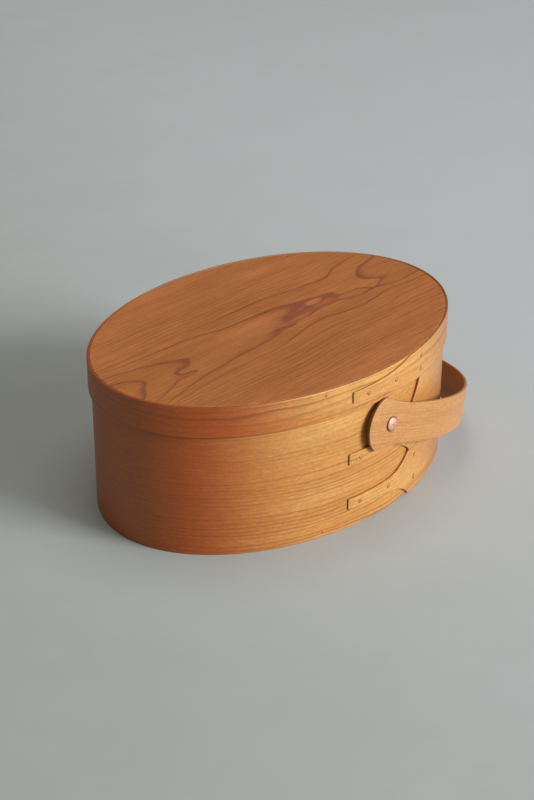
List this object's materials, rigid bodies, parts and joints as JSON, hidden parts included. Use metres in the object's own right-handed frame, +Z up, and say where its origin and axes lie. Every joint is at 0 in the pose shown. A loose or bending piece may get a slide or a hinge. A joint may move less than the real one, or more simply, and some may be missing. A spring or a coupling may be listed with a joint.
{
  "type": "oval bentwood box",
  "caption": "Oval bentwood box with swallowtail laps, a lift-off lid and a bail handle that swings over it on copper rivets.",
  "frame": {"origin": "centre of the underside, on what the box stands on", "axes": "+Z up, +X along the long axis towards the side where the handle rests, -Y the front with the laps"},
  "size_m": [0.2454, 0.1688, 0.0855],
  "materials": {
    "band_cherry": "oiled satin",
    "handle_cherry": "oiled satin",
    "top_board": "oiled satin",
    "bottom_board": "oiled satin",
    "peg_wood": "cut end grain",
    "copper": "satin copper"
  },
  "bodies": {
    "box": {"base_board": "bottom_board", "box_band": "band_cherry", "base_pegs": "peg_wood", "box_finger_tacks": "copper", "box_root_tacks": "copper", "rivet_front": "copper", "rivet_back": "copper", "washer_front": "copper", "washer_back": "copper", "burr_front": "copper", "burr_back": "copper"},
    "lid": {"lid_board": "top_board", "lid_band": "band_cherry", "lid_pegs": "peg_wood", "lid_finger_tacks": "copper", "lid_root_tacks": "copper"},
    "handle": {"handle": "handle_cherry"}
  },
  "joints": [
    {"name": "lid_lift", "type": "slide", "parent": "box", "child": "lid", "axis": [0, 0, 1], "range_m": [0, 0.08]},
    {"name": "handle_swing", "type": "hinge", "parent": "box", "child": "handle", "pos_m": [0, 0, 0.053], "axis": [0, -1, 0], "range_deg": [0, 215]}
  ]
}
